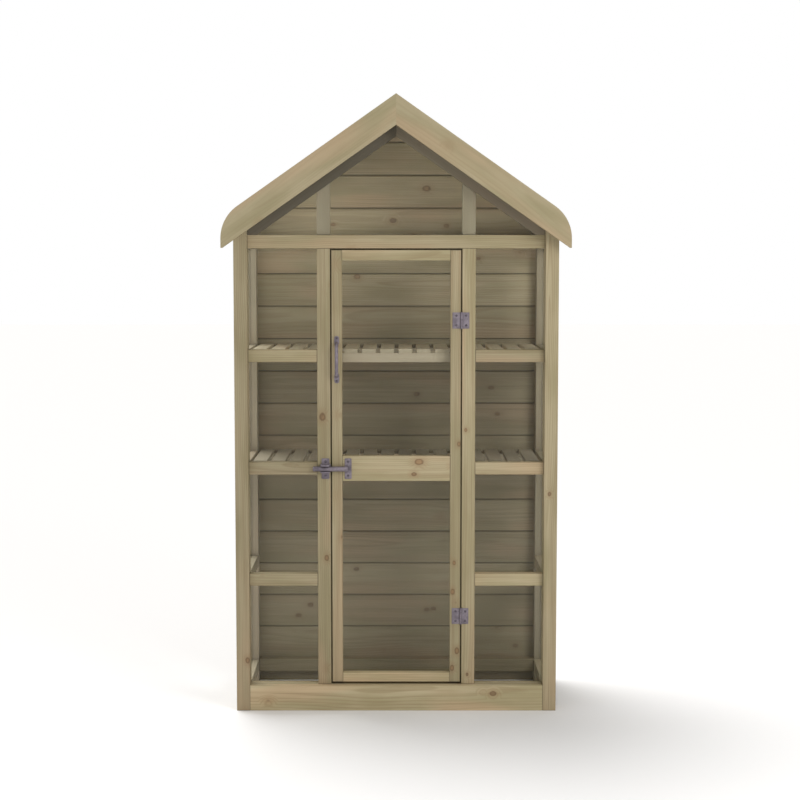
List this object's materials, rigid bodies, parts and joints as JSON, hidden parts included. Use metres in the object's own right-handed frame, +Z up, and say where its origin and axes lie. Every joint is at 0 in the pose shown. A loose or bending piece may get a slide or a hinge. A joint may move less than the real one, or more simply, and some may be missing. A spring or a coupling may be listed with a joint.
{
  "type": "wooden greenhouse",
  "caption": "Narrow apex-roofed wooden greenhouse with boarded back, glazed front and sides, slatted shelves, and a hinged, latched door; it stands against a wall.",
  "frame": {"origin": "on the ground, in the middle of the outer box; the box runs from the bargeboards' faces to the back of the boards and over the bargeboard tips", "axes": "+X to the right as seen by someone facing the door, +Y from the door to the boarded back, +Z up"},
  "size_m": [1.067, 0.45, 1.9102],
  "materials": {
    "pine_frame": "planed, pressure-treated softwood with a pale green-brown tint",
    "pine_boards": "planed tongued boards, pressure-treated, unpainted",
    "glazing": "clear, smooth",
    "galvanised_steel": "dull zinc plate, slightly bluish",
    "roofing_felt": "mineral-faced bitumen felt, matt"
  },
  "bodies": {
    "greenhouse": {"front_post_left": "pine_frame", "front_post_right": "pine_frame", "rear_post_left": "pine_frame", "rear_post_right": "pine_frame", "inner_post_left": "pine_frame", "inner_post_right": "pine_frame", "plinth_board": "pine_frame", "front_sill": "pine_frame", "front_eaves_rail": "pine_frame", "bay_rail_left_upper": "pine_frame", "bay_rail_left_middle": "pine_frame", "bay_rail_left_lower": "pine_frame", "bay_rail_right_upper": "pine_frame", "bay_rail_right_middle": "pine_frame", "bay_rail_right_lower": "pine_frame", "gable_rail_left": "pine_frame", "gable_rail_right": "pine_frame", "gable_mullion_left": "pine_frame", "gable_mullion_right": "pine_frame", "rear_gable_rail_left": "pine_frame", "rear_gable_rail_right": "pine_frame", "rear_eaves_rail": "pine_frame", "rear_sill": "pine_frame", "side_rails_left": "pine_frame", "side_rails_right": "pine_frame", "back_boards": "pine_boards", "upper_shelf_slats": "pine_frame", "lower_shelf_slats": "pine_frame", "upper_shelf_bearers": "pine_frame", "lower_shelf_bearers": "pine_frame", "roof_boards_left": "pine_boards", "roof_boards_right": "pine_boards", "roof_felt": "roofing_felt", "bargeboard_left": "pine_frame", "bargeboard_right": "pine_frame", "verge_battens": "pine_frame", "bay_pane_left": "glazing", "bay_pane_right": "glazing", "gable_pane": "glazing", "side_panes_left": "glazing", "side_panes_right": "glazing", "door_stops": "pine_frame", "hinge_frame_leaves": "galvanised_steel", "hinge_pins": "galvanised_steel", "latch_body": "galvanised_steel", "latch_pin": "galvanised_steel", "frame_screws": "galvanised_steel"},
    "door": {"door_stile_left": "pine_frame", "door_stile_right": "pine_frame", "door_top_rail": "pine_frame", "door_middle_rail": "pine_frame", "door_bottom_rail": "pine_frame", "door_pane_upper": "glazing", "door_pane_lower": "glazing", "door_beads": "pine_frame", "hinge_door_leaves": "galvanised_steel", "pull_handle": "galvanised_steel", "latch_bar": "galvanised_steel", "door_screws": "galvanised_steel"},
    "catch": {"latch_catch": "galvanised_steel"}
  },
  "joints": [
    {"name": "door_hinge", "type": "hinge", "parent": "greenhouse", "child": "door", "pos_m": [0.202, -0.159, 0.763], "axis": [0, 0, 1], "range_deg": [0, 170]},
    {"name": "catch_pivot", "type": "hinge", "parent": "greenhouse", "child": "catch", "pos_m": [-0.22, -0.162, 0.774], "axis": [1, 0, 0], "range_deg": [0, 28]}
  ]
}
